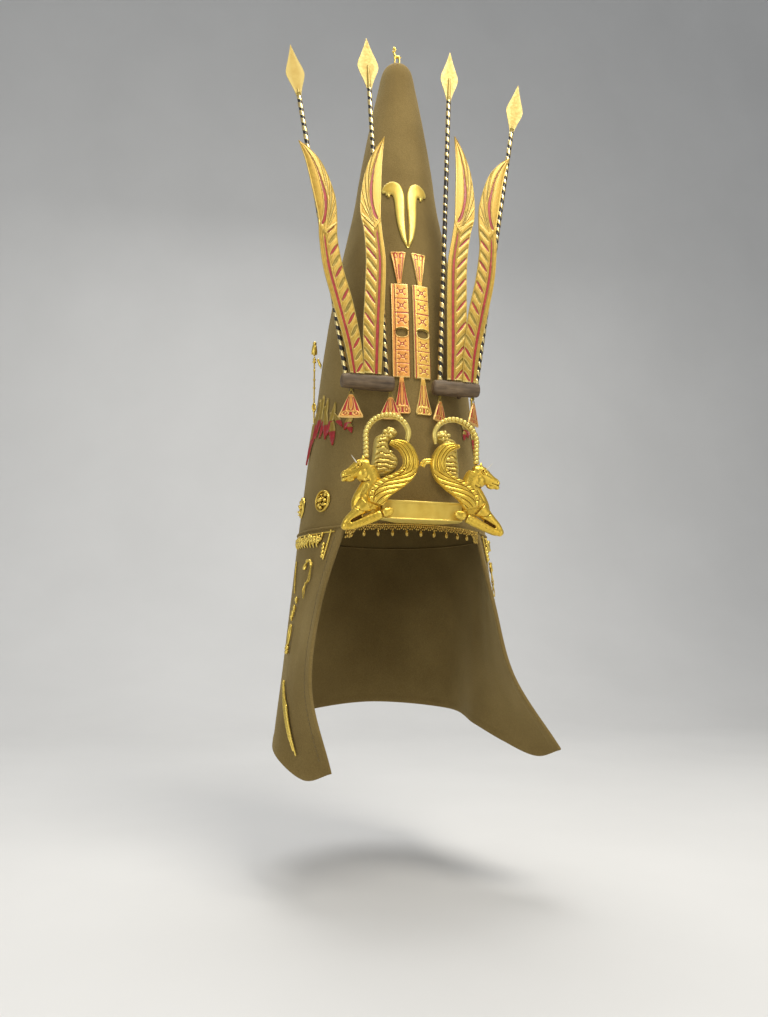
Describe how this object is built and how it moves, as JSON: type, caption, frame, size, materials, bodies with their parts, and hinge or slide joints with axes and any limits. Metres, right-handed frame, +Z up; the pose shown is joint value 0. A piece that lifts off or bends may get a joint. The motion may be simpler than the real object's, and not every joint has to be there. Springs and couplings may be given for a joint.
{
  "type": "ceremonial felt hat",
  "caption": "Tall pointed felt ceremonial hat with a nape and cheek skirt, gilded winged horses at the brow, upright arrows and feather plates, and enamelled gold strips.",
  "frame": {"origin": "centre of the brow opening, where the hat sits round the head", "axes": "+Z up to the peak, -Y the way the hat faces, +X to the right of someone facing it"},
  "size_m": [0.2487, 0.238, 0.7294],
  "materials": {
    "felt": "thick brushed wool felt, olive khaki",
    "gold": "gilded sheet metal, soft repousse shine",
    "polished_gold": "smooth polished gilding",
    "enamelled_gold": "raised gold lines on red enamel",
    "wood": "carved weathered wood",
    "wound_shaft": "dark rod wound with gold ribbon",
    "bone": "pale polished spike"
  },
  "bodies": {
    "root": {"felt_crown": "felt", "felt_skirt": "felt", "brow_trim": "gold", "emblem_plate": "gold", "finial": "gold", "horse_left": "gold", "wing_left": "gold", "mane_left": "gold", "horn_left": "gold", "ear_left": "bone", "bar_left": "wood", "strip_fan_left": "enamelled_gold", "strip_plate_left": "enamelled_gold", "strip_foot_left": "enamelled_gold", "tusk_left": "polished_gold", "peaks_left": "gold", "tree_left": "gold", "flap_trim_left": "gold", "hook_left": "gold", "ring_left": "gold", "comb_left": "gold", "horse_right": "gold", "wing_right": "gold", "mane_right": "gold", "horn_right": "gold", "ear_right": "bone", "bar_right": "wood", "strip_fan_right": "enamelled_gold", "strip_plate_right": "enamelled_gold", "strip_foot_right": "enamelled_gold", "tusk_right": "polished_gold", "peaks_right": "gold", "tree_right": "gold", "flap_trim_right": "gold", "hook_right": "gold", "ring_right": "gold", "comb_right": "gold", "arrow_1": "wound_shaft", "arrowhead_1": "gold", "feather_1": "gold", "pendant_1": "enamelled_gold", "boss_1": "gold", "arrow_2": "wound_shaft", "arrowhead_2": "gold", "feather_2": "gold", "pendant_2": "enamelled_gold", "boss_2": "gold", "arrow_3": "wound_shaft", "arrowhead_3": "gold", "feather_3": "gold", "pendant_3": "enamelled_gold", "boss_3": "gold", "arrow_4": "wound_shaft", "arrowhead_4": "gold", "feather_4": "gold", "pendant_4": "enamelled_gold", "boss_4": "gold"}
  },
  "joints": []
}
